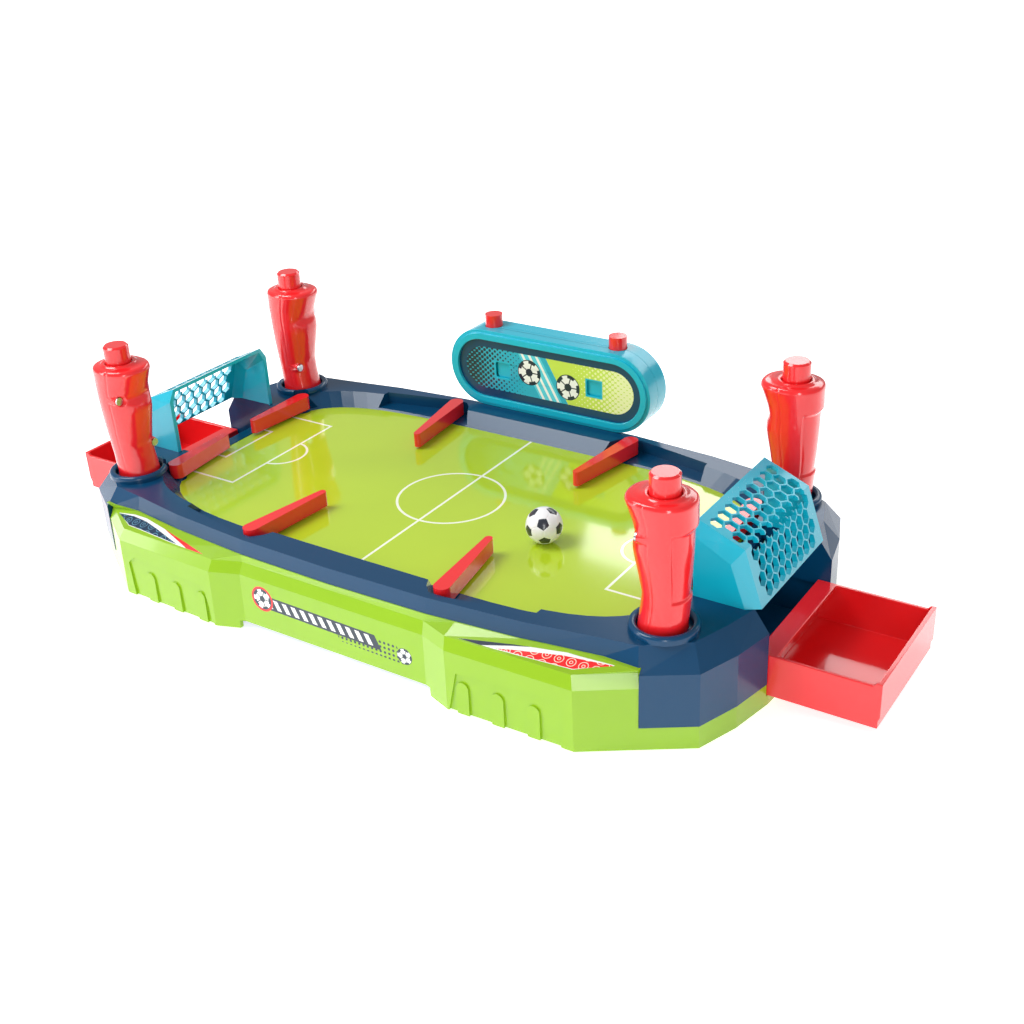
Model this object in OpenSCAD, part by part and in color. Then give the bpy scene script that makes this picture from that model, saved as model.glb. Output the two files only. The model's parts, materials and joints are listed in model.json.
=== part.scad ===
// Tabletop foosball game with thumb-button grips and paired flippers.
// Frame: origin on the table under the middle, X along the game (right goal at +X),
// Y across it (scoreboard at +Y, the rear), Z up. Millimetres.

/* [Housing] */
// Length of the housing from end to end
housing_length = 494; // [400:1:600]
// Width of the housing over the four side bumpers
housing_width = 272; // [230:1:330]
// Height of the playing surface above the table
pitch_level = 52; // [50:0.5:64]
// Height of the navy rim above the playing surface
rim_height = 9.5; // [8:0.5:14]
// Wall thickness of the moulded shells
wall = 2.4; // [2:0.1:3]

/* [Grips and buttons] */
// Height of a hand grip above the rim
grip_height = 79.5; // [64:0.5:96]
// Radius of the thumb button on a grip
button_radius = 8.35; // [7:0.05:10]
// How far a thumb button stands proud of its grip
button_proud = 12.5; // [10:0.5:16]
// Thickness of the square push rod under a button
rod_width = 7.6; // [6.4:0.1:9]

/* [Flippers] */
// Distance from the middle of the game to a side flipper's pivot
side_pivot_x = 73; // [60:1:88]
// Length of a side flipper, pivot to tip
side_flipper_length = 59; // [48:1:66]
// Distance from the middle of the game to a goal flipper's tip, across the game
goal_tip_y = 15; // [13:0.5:24]
// Radius of a flipper's shaft
shaft_radius = 3; // [2.4:0.1:3.6]
// Arm of the cranks under the flippers
crank_arm = 12; // [10:0.5:14]
// Swing of the flippers for a full press, degrees
flipper_swing = 34; // [20:1:36]

/* [Goals and drawers] */
// Distance from the housing's side to the end of a goal's top bar
goal_margin = 92.5; // [88:0.5:96]
// Height of a goal above the rim
goal_height = 45.5; // [36:0.5:55]
// Depth of a goal, front bar to back foot
goal_depth = 39; // [34:0.5:42]
// How far a drawer slides out
drawer_travel = 59; // [48:0.5:62]
// Height of a drawer's tray
drawer_height = 28.4; // [20:0.1:29]

/* [Scoreboard] */
// Width of the scoreboard
board_width = 165; // [140:1:200]
// Height of the scoreboard
board_height = 58; // [50:1:70]
// Front-to-back depth of the scoreboard
board_depth = 26; // [24:0.5:34]
// Radius of a score button
score_button_radius = 6.3; // [5:0.1:7.5]

/* [Ball] */
// Diameter of the ball
ball_diameter = 23; // [18:0.5:26]

/* [Hidden] */
$fn = 48;
gap = 0.4;                 // clearance between pieces that slide past each other
run = 0.06;                // radial clearance of a running shaft
seam = 0.3;                // visible seam between the lime and navy mouldings
side_len = housing_length / 2;
side_wid = housing_width / 2;
rim_top = pitch_level + rim_height;
rim_under = rim_top - wall;
end_split = side_len - 46;      // where the navy end towers begin
tower_foot = 15;                // lime shows below this height at the ends
tower_edge = pitch_level - 3.5; // lower edge of the top bevel
deck_edge = pitch_level - 4.5;
wall_top = pitch_level - 12;
shell = 3;                      // thickness of the lime skirt
panel_sink = 1.5;               // depth of the panels sunk into the bumpers
tab_half = 4;
tab_step = 23;
skirt_low = 1;                  // underside of the bumpers and ends
skirt_mid = 6.5;                // underside of the skirt between the bumpers
cover_low = 4.4;
cover_top = cover_low + 2.4;
board_thick = 2.4;
board_low = pitch_level - board_thick;
pitch_a = side_len - 60;        // half length of the playing surface
pitch_b = side_wid - 38.5;      // half width of the playing surface
pitch_power = 4.6;
flare = 8;                      // the rim's inner wall leans out by this much

grip_x = side_len - 47;
grip_y = side_wid - 52;
goal_pivot_x = side_len - 63;
goal_pivot_y = side_wid - 71;
goal_flipper_length = goal_pivot_y - goal_tip_y;
goal_half_width = side_wid - goal_margin;   // half width of a goal's top bar
side_pivot_y = side_wid - 26;
notch_floor = pitch_level + 1.2;
flipper_low = pitch_level + 2;
flipper_tall = 10;
bearing_low = pitch_level - 4;

// drive: button down -> bar towards the middle -> both flippers kick towards the middle
stroke = 2 * crank_arm * sin(flipper_swing / 2);
pin_x = crank_arm * sin(flipper_swing / 2);
pin_y = crank_arm * cos(flipper_swing / 2);
pin_radius = 2;
bar_low = pitch_level - 14;
bar_thick = 3.4;
bar_top = bar_low + bar_thick;
crank_low = bar_top + 0.6;
arm_low = crank_low + 1.6;
crank_top = bearing_low - gap;
slot_play = 0.35;
ramp_sum = grip_x + rod_width / 2 + 33;   // x + z on the ramp's sloping face
ramp_low = 24;
ramp_high = bar_top + 0.6;
guide_x = [side_pivot_x + 32, grip_x - 40];
guide_y = side_wid - 39;
guide_radius = 1.9;
bar_strip = 11.4;               // width of the drive bar's long strip
floor_post = 4;                 // radius of the posts under the playing surface
screw_radius = 1.5;
screw_length = 14;
post_radius = 4.4;              // radius of the posts that take the cover's screws
cover_post_x = side_len - 31;
cover_post_y = side_wid - 74;
skirt_post_y = side_wid - 17;

// grip: rows of [height share, centre offset, half width along X, half width along Y]
grip_rows = [
  [0.00, -0.8, 13.6, 13.2],
  [0.05, -0.6, 13.2, 13.0],
  [0.12, 0.2, 13.2, 12.8],
  [0.20, 0.9, 13.0, 12.6],
  [0.30, 1.5, 13.5, 13.0],
  [0.42, 1.3, 14.6, 14.0],
  [0.54, 0.6, 15.9, 15.0],
  [0.62, 0.2, 16.6, 15.6],
  [0.72, 0.6, 16.3, 15.9],
  [0.82, 0.4, 16.8, 16.0],
  [0.90, -0.9, 18.0, 16.4],
  [0.96, -1.9, 19.2, 16.6],
  [0.985, -1.9, 18.9, 16.3],
  [1.00, -1.7, 17.6, 15.2]
];
grip_top = rim_top + grip_height;
button_top = grip_top + button_proud;
lip_low = grip_top - 6.7;
flange_top = lip_low - 0.4;
flange_low = flange_top - 3;
spring_floor = grip_top - 37;
guide_low = spring_floor - 6;
split_x = grip_x - 1;
screw_spots = [[13, grip_top - 21], [-9.6, rim_top + 20.5]];
collar_radius = 19.5;
collar_roll = 2.2;

goal_front = side_len - 48;
goal_side = goal_half_width + 5;
goal_wall = 1.7;
mesh_edge = 1.5;                // plain strip at the ends of a goal's mesh
mouth = goal_half_width;
chute = goal_half_width + 1.7;      // half width of the drop hole and drawer opening
drawer_half = chute - 0.7;
drawer_low = cover_top + 0.8;
drawer_front = side_len + 1.5 + drawer_travel;
drawer_back = side_len - 11;
drawer_wall = 2;
drawer_top = drawer_low + drawer_height;
ear = 2;                        // stop ears stick out this far at a drawer's back end
ear_thick = 2.4;
ear_top = drawer_top - 6;
rail_thick = 2;

score_front = side_wid - 17;
score_mid = rim_top + board_height / 2;
score_seam = score_front + board_depth / 2;
score_rear = score_front + board_depth;
panel_radius = board_height / 2 - 7;
flat_half = board_width / 2 - board_height / 2;
window_x = 38;
wheel_x = 22.5;
wheel_radius = 21;
axle_radius = 2.5;
wheel_front = score_front + 2 * wall - 0.6;
score_button_x = 51;
score_button_y = score_front + 14;
score_button_proud = 8.5;
score_button_top = rim_top + board_height + score_button_proud;
shelf_low = rim_top - 5.5;
shelf_screw_y = score_seam + 5;
shelf_screw_x = 32;

ball_x = 86;
ball_y = -22;

cover_screw_spots = [[cover_post_x, cover_post_y], [-cover_post_x, cover_post_y],
  [cover_post_x, -cover_post_y], [-cover_post_x, -cover_post_y],
  [0, skirt_post_y], [0, -skirt_post_y]];

lime = [0.62, 0.80, 0.10];
navy = [0.05, 0.24, 0.42];
red = [0.90, 0.12, 0.14];
teal = [0.08, 0.66, 0.78];

// ---- outlines: a quarter from the middle of the long side round to the middle of the end ----

function skirt_quarter(inset) = [for (p = [
    [0, side_wid - 7],
    [side_len * 0.285, side_wid - 7],
    [side_len * 0.365, side_wid],
    [side_len * 0.53, side_wid - 1],
    [side_len - 75, side_wid - 2],
    [end_split, side_wid - 20.5],
    [side_len - 18.5, side_wid - 38],
    [side_len - 9, goal_half_width + 28.5],
    [side_len - 3, goal_half_width],
    [side_len, 0]])
  [p[0] * (side_len - inset) / side_len, p[1] * (side_wid - inset) / side_wid]];

function rim_quarter(inset) = [for (p = [
    [0, side_wid - 10],
    [side_len * 0.285, side_wid - 11.4],
    [side_len * 0.365, side_wid - 13],
    [side_len * 0.53, side_wid - 16.4],
    [side_len - 75, side_wid - 22],
    [end_split, side_wid - 21],
    [side_len - 18.5, side_wid - 38],
    [side_len - 9, goal_half_width + 28.5],
    [side_len - 3, goal_half_width],
    [side_len, 0]])
  [p[0] * (side_len - inset) / side_len, p[1] * (side_wid - inset) / side_wid]];

function top_quarter(inset) = [for (p = [
    [0, side_wid - 12.5],
    [side_len * 0.285, side_wid - 13.9],
    [side_len * 0.365, side_wid - 15.5],
    [side_len * 0.53, side_wid - 18.9],
    [side_len - 75, side_wid - 25.5],
    [side_len - 50, side_wid - 29],
    [side_len - 26, side_wid - 46],
    [side_len - 18, goal_half_width + 23],
    [side_len - 12, goal_half_width],
    [side_len - 9, 0]])
  [p[0] * (side_len - inset) / side_len, p[1] * (side_wid - inset) / side_wid]];

function oval_quarter(grow) = [for (i = [0:14])
  let (t = 90 * i / 14)
  [(pitch_a + grow) * pow(sin(t), 2 / pitch_power), (pitch_b + grow) * pow(cos(t), 2 / pitch_power)]];

function ring(q, z) = let (n = len(q)) concat(
  [for (i = [n - 1:-1:0]) [q[i][0], q[i][1], z]],
  [for (i = [1:n - 1]) [-q[i][0], q[i][1], z]],
  [for (i = [n - 2:-1:0]) [-q[i][0], -q[i][1], z]],
  [for (i = [1:n - 2]) [q[i][0], -q[i][1], z]]);

function flat_ring(q) = [for (p = ring(q, 0)) [p[0], p[1]]];

// closed solid through rings of points; the rings run anticlockwise seen from the last one
module loft(rings) {
  n = len(rings[0]);
  m = len(rings);
  polyhedron(
    points = [for (r = rings) for (p = r) p],
    faces = concat(
      [[for (i = [0:n - 1]) i]],
      [for (j = [0:m - 2]) for (i = [0:n - 1]) [j * n + i, (j + 1) * n + i, (j + 1) * n + (i + 1) % n]],
      [for (j = [0:m - 2]) for (i = [0:n - 1]) [j * n + i, (j + 1) * n + (i + 1) % n, j * n + (i + 1) % n]],
      [[for (i = [n - 1:-1:0]) (m - 1) * n + i]]));
}

// box between two corners
module block(low, high) {
  translate(low) cube([high[0] - low[0], high[1] - low[1], high[2] - low[2]]);
}

module rod(x, y, low, high, r) {
  translate([x, y, low]) cylinder(r = r, h = high - low);
}

module corner(sx, sy) {
  mirror([sx < 0 ? 1 : 0, 0, 0]) mirror([0, sy < 0 ? 1 : 0, 0]) children();
}

module all_corners() {
  corner(1, 1) children();
  corner(-1, 1) children();
  corner(1, -1) children();
  corner(-1, -1) children();
}

module both_ends() {
  children();
  mirror([1, 0, 0]) children();
}

// ---- base housing ----

module bumper_panel() {
  lean = atan2(2, side_len * 0.635 - 75);
  middle = (side_len * 0.365 + side_len - 75) / 2;
  translate([middle, side_wid - 1, 0]) rotate([0, 0, -lean]) difference() {
    translate([0, -panel_sink, 0]) rotate([-90, 0, 0]) linear_extrude(4)
      polygon([[-40, 0], [33, 0], [35, -25], [29, -30], [-34, -27]]);
    for (i = [-1:1]) translate([i * tab_step - 7, -3, 0]) {
      block([-tab_half, 0, -2], [tab_half, 3, 18]);
      translate([0, 0, 18]) rotate([-90, 0, 0]) cylinder(r = tab_half, h = 3);
    }
  }
}

module base_housing() {
  color(lime) {
    difference() {
      loft([
        ring(skirt_quarter(0), skirt_low),
        ring(skirt_quarter(0.8), wall_top),
        ring(skirt_quarter(4.2), deck_edge),
        ring(rim_quarter(0), pitch_level)]);
      loft([
        ring(skirt_quarter(shell), -1),
        ring(skirt_quarter(shell + 0.6), wall_top - 1),
        ring(skirt_quarter(shell + 4.4), deck_edge - 2.2),
        ring(rim_quarter(5), board_low)]);
      translate([0, 0, board_low - 5]) linear_extrude(20) polygon(flat_ring(rim_quarter(6.5)));
      both_ends() block([end_split, -side_wid, tower_foot], [side_len + 5, side_wid, pitch_level + 5]);
      both_ends() block([end_split - 5, -chute, cover_top + 0.4], [side_len + 5, chute, pitch_level + 5]);
      block([-side_len * 0.3, -side_wid - 5, -2], [side_len * 0.3, side_wid + 5, skirt_mid]);
      all_corners() bumper_panel();
    }
    // screw posts at the middle of the long sides
    for (s = [-1, 1]) difference() {
      union() {
        rod(0, s * skirt_post_y, cover_top, deck_edge - 4, post_radius);
        block([-1.2, s > 0 ? skirt_post_y : -side_wid + 9.4, cover_top],
          [1.2, s > 0 ? side_wid - 9.4 : -skirt_post_y, deck_edge - 6]);
      }
      rod(0, s * skirt_post_y, cover_top - 1, cover_top + screw_length, screw_radius);
    }
  }
}

module bottom_cover() {
  color(navy) {
    difference() {
      translate([0, 0, cover_low]) linear_extrude(cover_top - cover_low)
        polygon(flat_ring(skirt_quarter(3.5)));
      for (p = cover_screw_spots) rod(p[0], p[1], cover_low - 1, cover_top + 1, 1.9);
    }
    // posts under the playing surface
    for (x = [-1, 0, 1]) for (y = [-1, 1])
      rod(x * (pitch_a - 77), y * (pitch_b - 52.5), cover_top, board_low, floor_post);
    rod(0, 0, cover_top, board_low, floor_post);
    // guide posts of the drive bars
    all_corners() for (x = guide_x) {
      rod(x, guide_y, cover_top, bar_low - gap, 3.4);
      rod(x, guide_y, bar_low - gap, bar_top + 1.4, guide_radius);
    }
    // side rails of the drawers
    rail = drawer_half + ear + seam;
    both_ends() for (s = [-1, 1])
      block([drawer_back - drawer_travel - 2, s > 0 ? rail : -rail - rail_thick, cover_top],
        [drawer_back + 2, s > 0 ? rail + rail_thick : -rail, ear_top]);
  }
}

// ---- top frame ----

module side_notch(grow) {
  polygon([
    [side_pivot_x - 19 - grow, pitch_b - 14],
    [side_pivot_x - 19 - grow, pitch_b - 3],
    [side_pivot_x - 10.5 - grow, side_pivot_y + 1],
    [side_pivot_x - 5 - grow * 0.5, side_pivot_y + 6.5 + grow],
    [side_pivot_x + 6, side_pivot_y + 6.5 + grow],
    [side_pivot_x + 60 + grow, side_pivot_y - 4.5 + grow],
    [side_pivot_x + 62 + grow, pitch_b - 14]]);
}

module goal_notch(grow) {
  polygon([
    [goal_pivot_x - 30, goal_pivot_y - 35],
    [goal_pivot_x + 9 + grow, goal_pivot_y - 35],
    [goal_pivot_x + 9 + grow, goal_pivot_y + 3],
    [goal_pivot_x + 4 + grow * 0.5, goal_pivot_y + 8 + grow],
    [goal_pivot_x - 6, goal_pivot_y + 8 + grow],
    [goal_pivot_x - 30, goal_pivot_y + 8 + grow]]);
}

module top_frame() {
  color(navy) {
    difference() {
      union() {
        difference() {
          loft([
            ring(skirt_quarter(0), tower_foot + seam),
            ring(rim_quarter(0), tower_edge),
            ring(top_quarter(0), rim_top)]);
          block([-end_split - seam, -side_wid - 5, 0], [end_split + seam, side_wid + 5, pitch_level]);
          // hollow under the top, leaving walls round the pitch and the drop holes
          difference() {
            loft([
              ring(skirt_quarter(2.7), tower_foot - 1),
              ring(rim_quarter(2.7), tower_edge - 0.6),
              ring(top_quarter(2.4), rim_under)]);
            loft([
              ring(oval_quarter(wall - 0.2), pitch_level - 2),
              ring(oval_quarter(wall + flare), rim_top)]);
            both_ends() block([goal_front - 9, -chute - wall, ear_top + gap],
              [side_len + 5, chute + wall, rim_top]);
            // door frame that the drawer's ears stop against
            both_ends() block([drawer_back + ear_thick + gap, -chute - wall, 0],
              [side_len + 5, chute + wall, rim_top]);
            both_ends() block([goal_front - 9, -chute - 4, board_low - 3.6],
              [goal_front + 2, chute + 4, rim_top]);
            all_corners() intersection() {
              translate([0, 0, pitch_level]) linear_extrude(rim_height) side_notch(2);
              block([0, 0, pitch_level], [side_len, side_wid, rim_top]);
            }
            all_corners() translate([0, 0, pitch_level]) linear_extrude(rim_height) goal_notch(2);
          }
        }
        // sill across each goal mouth
        both_ends() block([pitch_a + 3.4, -chute - 6, board_low - 3.6], [goal_front, chute + 6, pitch_level]);
        all_corners() {
          rod(side_pivot_x, side_pivot_y, bearing_low, notch_floor, shaft_radius + 2.2);
          rod(goal_pivot_x, goal_pivot_y, bearing_low, notch_floor, shaft_radius + 2.2);
          rod(cover_post_x, cover_post_y, cover_top, rim_under + 0.5, post_radius);
          collar();
        }
        // shelf behind the rim that carries the scoreboard
        block([-42, side_wid - 14, shelf_low], [42, score_rear - 3, rim_top]);
      }
      // playing field with its leaning inner wall
      loft([
        ring(oval_quarter(0), pitch_level),
        ring(oval_quarter(flare), rim_top),
        ring(oval_quarter(flare + 1), rim_top + 1.2)]);
      // goal mouths and drop holes
      both_ends() block([pitch_a - 20, -mouth, pitch_level], [goal_front + 1, mouth, rim_top + 2]);
      both_ends() block([goal_front, -chute, cover_top], [side_len + 5, chute, rim_top + 2]);
      all_corners() {
        translate([0, 0, notch_floor]) linear_extrude(20) side_notch(0);
        translate([0, 0, notch_floor]) linear_extrude(20) goal_notch(0);
        rod(side_pivot_x, side_pivot_y, bearing_low - 1, notch_floor + 1, shaft_radius + run);
        rod(goal_pivot_x, goal_pivot_y, bearing_low - 1, notch_floor + 1, shaft_radius + run);
        rod(grip_x, grip_y, rim_under - 4, rim_top + 0.2, 6.6);
        rod(cover_post_x, cover_post_y, cover_top - 1, cover_top + screw_length, screw_radius);
        goal_pegs(run);
      }
      for (s = [-1, 1]) rod(s * shelf_screw_x, shelf_screw_y, shelf_low - 1, rim_top + 1, 1.8);
    }
  }
}

// rounded ring that the foot of a grip sits in
module collar() {
  translate([grip_x, grip_y, rim_top - 0.1]) rotate_extrude() {
    translate([collar_radius - collar_roll, 0]) square([collar_roll, collar_roll]);
    translate([collar_radius - collar_roll, 2.4]) circle(r = collar_roll, $fn = 24);
  }
}

module pitch_board() {
  color(lime) difference() {
    union() {
      translate([0, 0, board_low]) linear_extrude(board_thick) polygon(flat_ring(oval_quarter(2.6)));
      // pads that keep the drive bars down
      all_corners() for (x = [side_pivot_x + 18, side_pivot_x + 50])
        rod(x, pitch_b - 3.4, bar_top + gap, board_low, 2.6);
    }
    all_corners() rod(goal_pivot_x, goal_pivot_y, board_low - 1, pitch_level + 1, shaft_radius + 2.6);
  }
}

// ---- goals ----

goal_fold_x = goal_front + goal_depth * 0.72;
goal_fold_z = rim_top + goal_height * 0.735;

function goal_section(y, front, top, drop, back, floor) = [
  [goal_front + front, y, rim_top + floor],
  [goal_front + front, y, rim_top + goal_height - top],
  [goal_fold_x - back, y, goal_fold_z - drop],
  [goal_front + goal_depth - back * 1.3, y, rim_top + floor]];

module goal_pegs(grow) {
  for (x = [goal_front + 6, goal_front + goal_depth - 9])
    rod(x, goal_side - 1.6, rim_top - wall - 1, rim_top + 2, 1.3 + grow);
}

// rows of six-sided holes in the XY plane, rows along Y
module hex_field(rows, step_x, step_y, long, flat, half) {
  for (i = [0:rows - 1]) for (j = [-5:5]) {
    y = (j + (i % 2) * 0.5) * step_y;
    if (abs(y) < half - flat / 2)
      translate([i * step_x, y])
        polygon([[-long / 2, 0], [-long / 4, -flat / 2], [long / 4, -flat / 2],
          [long / 2, 0], [long / 4, flat / 2], [-long / 4, flat / 2]]);
  }
}

module goal() {
  slope = atan2(rim_top + goal_height - goal_fold_z, goal_fold_x - goal_front);
  back_slope = atan2(goal_fold_z - rim_top, goal_front + goal_depth - goal_fold_x);
  color(teal) difference() {
    union() {
      loft([
        goal_section(-goal_side, 0, 8, 8, 6, 0),
        goal_section(-goal_half_width, 0, 0, 0, 0, 0),
        goal_section(goal_half_width, 0, 0, 0, 0, 0),
        goal_section(goal_side, 0, 8, 8, 6, 0)]);
      goal_pegs(0);
      mirror([0, 1, 0]) goal_pegs(0);
    }
    loft([
      goal_section(-goal_side + 3.1, -1, 9, 9.2, 8.4, -1),
      goal_section(-goal_half_width + 1.6, -1, goal_wall + 0.4, goal_wall + 0.4, 2.4, -1),
      goal_section(goal_half_width - 1.6, -1, goal_wall + 0.4, goal_wall + 0.4, 2.4, -1),
      goal_section(goal_side - 3.1, -1, 9, 9.2, 8.4, -1)]);
    // mesh of six-sided holes in the top and back slopes
    translate([goal_front + 5, 0, rim_top + goal_height]) rotate([0, slope, 0])
      translate([4.2, 0, -8]) linear_extrude(14)
        hex_field(4, 7.2, 9.2, 8.6, 8, goal_half_width - mesh_edge);
    translate([goal_fold_x, 0, goal_fold_z]) rotate([0, back_slope, 0])
      translate([5.8, 0, -8]) linear_extrude(14)
        hex_field(4, 7.8, 8.6, 9.4, 7.4, goal_half_width - mesh_edge);
  }
}

// ---- drawers, drawn open ----

module drawer() {
  top = drawer_top;
  color(red) {
    difference() {
      union() {
        block([drawer_back, -drawer_half, drawer_low], [drawer_front - 1, drawer_half, top - 2]);
        // front panel with its slanting foot and small lip
        translate([0, drawer_half, 0]) rotate([90, 0, 0]) linear_extrude(2 * drawer_half)
          polygon([[drawer_front - 5, drawer_low], [drawer_front - 3, drawer_low],
            [drawer_front, drawer_low + 7], [drawer_front, top], [drawer_front - 3.4, top], [drawer_front - 5, top - 2]]);
        // stop ears at the back
        block([drawer_back, -drawer_half - ear, drawer_low],
          [drawer_back + ear_thick, drawer_half + ear, ear_top]);
      }
      block([drawer_back + drawer_wall, -drawer_half + drawer_wall, drawer_low + drawer_wall],
        [drawer_front - 2.6, drawer_half - drawer_wall, top + 5]);
    }
    // flat shelf over the back end
    block([drawer_back, -drawer_half, top - 4.2], [drawer_back + 12, drawer_half, top - 2]);
  }
}

module rubber_feet() {
  color([0.1, 0.1, 0.1]) {
    rod(0, 0, 0, cover_low, 8);
    all_corners() rod(side_len - 55, side_wid - 42, 0, cover_low, 7);
  }
}

module screw(low, length, r, head) {
  translate([0, 0, low]) cylinder(r = r, h = length);
  translate([0, 0, low - 1.8]) cylinder(r = head, h = 1.8);
}

module cover_screws() {
  color([0.6, 0.6, 0.62]) for (p = cover_screw_spots) translate([p[0], p[1], 0])
    screw(cover_low, screw_length, screw_radius, 3.2);
}

// ---- corner pieces, drawn for the rear right corner ----

function grip_ring(row) = [for (i = [0:23])
  let (a = 360 * i / 24, c = cos(a), s = sin(a))
  [grip_x + row[1] + row[2] * sign(c) * pow(abs(c), 0.86),
   grip_y + row[3] * sign(s) * pow(abs(s), 0.86),
   rim_top + row[0] * grip_height]];

module grip_whole() {
  difference() {
    union() {
      loft([for (r = grip_rows) grip_ring(r)]);
      rod(grip_x, grip_y, rim_under - 0.6, rim_top + 0.5, 6.5);
      rod(grip_x, grip_y, grip_top - 0.5, grip_top + 1, 11.2);
    }
    rod(grip_x, grip_y, lip_low - 1, grip_top + 2, button_radius + 0.35);
    rod(grip_x, grip_y, spring_floor, lip_low, 10.4);
    rod(grip_x, grip_y, rim_top + 4.5, guide_low, 7);
    translate([grip_x, grip_y, rim_top + 20])
      cube([rod_width + 2 * gap, rod_width + 2 * gap, 2 * grip_height], center = true);
    for (s = screw_spots) translate([grip_x, grip_y + s[0], s[1]]) rotate([0, 90, 0]) {
      translate([0, 0, -30]) cylinder(r = 2.7, h = 22);
      translate([0, 0, -9]) cylinder(r = screw_radius, h = screw_length + 1);
    }
  }
}

module grip_inner() {
  color(red) difference() {
    grip_whole();
    block([split_x, grip_y - 40, 0], [split_x + 60, grip_y + 40, grip_top + 20]);
  }
}

module grip_outer() {
  color(red) difference() {
    grip_whole();
    block([split_x - 60, grip_y - 40, 0], [split_x, grip_y + 40, grip_top + 20]);
    // long panel sunk into the outer side
    difference() {
      block([grip_x + 13, grip_y - 8, rim_top + grip_height * 0.27],
        [grip_x + 30, grip_y + 8, rim_top + grip_height * 0.78]);
      loft([for (r = grip_rows) grip_ring([r[0], r[1] - 1.2, r[2], r[3]])]);
    }
  }
}

module grip_screw_pair() {
  for (s = screw_spots) translate([grip_x - 8, grip_y + s[0], s[1]]) rotate([0, 90, 0])
    screw(0, screw_length, screw_radius, 2.6);
}

module grip_screws() {
  color([0.6, 0.6, 0.62]) all_corners() grip_screw_pair();
}

module plunger() {
  h = rod_width / 2;
  color(red) {
    rod(grip_x, grip_y, flange_top, button_top - 1.2, button_radius);
    translate([grip_x, grip_y, button_top - 1.2])
      cylinder(r1 = button_radius, r2 = button_radius - 1.2, h = 1.2);
    rod(grip_x, grip_y, flange_low, flange_top, 10);
    rod(grip_x, grip_y, guide_low - 2, flange_low, h);
    // square rod with its end cut to the ramp's slope
    translate([0, grip_y + h, 0]) rotate([90, 0, 0]) linear_extrude(rod_width)
      polygon([
        [grip_x - h, ramp_sum + gap * 1.1 - grip_x + h],
        [grip_x + h, ramp_sum + gap * 1.1 - grip_x - h],
        [grip_x + h, guide_low - 1],
        [grip_x - h, guide_low - 1]]);
  }
}

module spring() {
  turns = 6;
  tall = flange_low - 0.3 - spring_floor;
  pitch = tall / turns;
  wire = 0.6;
  coil = 6.4;
  color([0.7, 0.7, 0.72]) translate([grip_x, grip_y, spring_floor])
    linear_extrude(height = tall, twist = -360 * turns, slices = 14 * turns, $fn = 12)
      polygon([for (i = [0:9])
        let (a = 36 * i, r = coil + wire * cos(a), t = wire * sin(a) * 360 / pitch)
        [r * cos(t), r * sin(t)]]);
}

module drive_bar() {
  h = rod_width / 2 + gap;
  color([0.85, 0.85, 0.82]) {
    difference() {
      translate([0, 0, bar_low]) linear_extrude(bar_thick) difference() {
        union() {
          translate([side_pivot_x - 6, guide_y - 5.4]) square([grip_x - side_pivot_x + 14, bar_strip]);
          translate([grip_x - 12, grip_y - h - 4]) square([30, guide_y - grip_y + h + 1]);
          translate([goal_pivot_x + pin_x - 7, goal_pivot_y - crank_arm - 4.6])
            square([14, guide_y - goal_pivot_y + crank_arm + 2]);
        }
        // crank slots
        for (p = [[side_pivot_x, side_pivot_y], [goal_pivot_x, goal_pivot_y]])
          for (y = [0:2]) translate([p[0] + pin_x, p[1] - crank_arm + y * (crank_arm - pin_y) / 2])
            circle(r = pin_radius + slot_play, $fn = 32);
        // guide slots
        for (x = guide_x) {
          translate([x, guide_y]) circle(r = guide_radius + slot_play, $fn = 32);
          translate([x + stroke, guide_y]) circle(r = guide_radius + slot_play, $fn = 32);
          translate([x, guide_y - guide_radius - slot_play])
            square([stroke, 2 * guide_radius + 2 * slot_play]);
        }
        // window for the push rod
        translate([ramp_sum - bar_top - 1, grip_y - h]) square([rod_width + stroke + 4.5, 2 * h]);
      }
    }
    // ramp under the push rod
    translate([0, grip_y + rod_width / 2 - 0.2, 0]) rotate([90, 0, 0]) linear_extrude(rod_width - 0.4)
      polygon([
        [ramp_sum - ramp_high - 6, ramp_low],
        [ramp_sum - ramp_low, ramp_low],
        [ramp_sum - ramp_high, ramp_high],
        [ramp_sum - ramp_high - 6, ramp_high]]);
  }
}

// tapered bar from a round pivot end to a smaller round tip, along -Y
module flipper_outline(length, r1, r2) {
  lean = asin((r1 - r2) / length);
  circle(r = r1);
  translate([0, -length]) circle(r = r2, $fn = 24);
  polygon([
    [r1 * cos(lean), -r1 * sin(lean)],
    [r2 * cos(lean), -length - r2 * sin(lean)],
    [-r2 * cos(lean), -length - r2 * sin(lean)],
    [-r1 * cos(lean), -r1 * sin(lean)]]);
}

module flipper(length) {
  linear_extrude(flipper_tall) flipper_outline(length, 5.2, 2.6);
  translate([0, 0, crank_low - flipper_low]) cylinder(r = shaft_radius, h = flipper_low - crank_low + 1);
}

module side_flipper() {
  color(red) translate([side_pivot_x, side_pivot_y, flipper_low]) rotate([0, 0, -7.7])
    flipper(side_flipper_length);
}

module goal_flipper() {
  color(red) translate([goal_pivot_x, goal_pivot_y, flipper_low]) rotate([0, 0, 3])
    flipper(goal_flipper_length);
}

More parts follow.
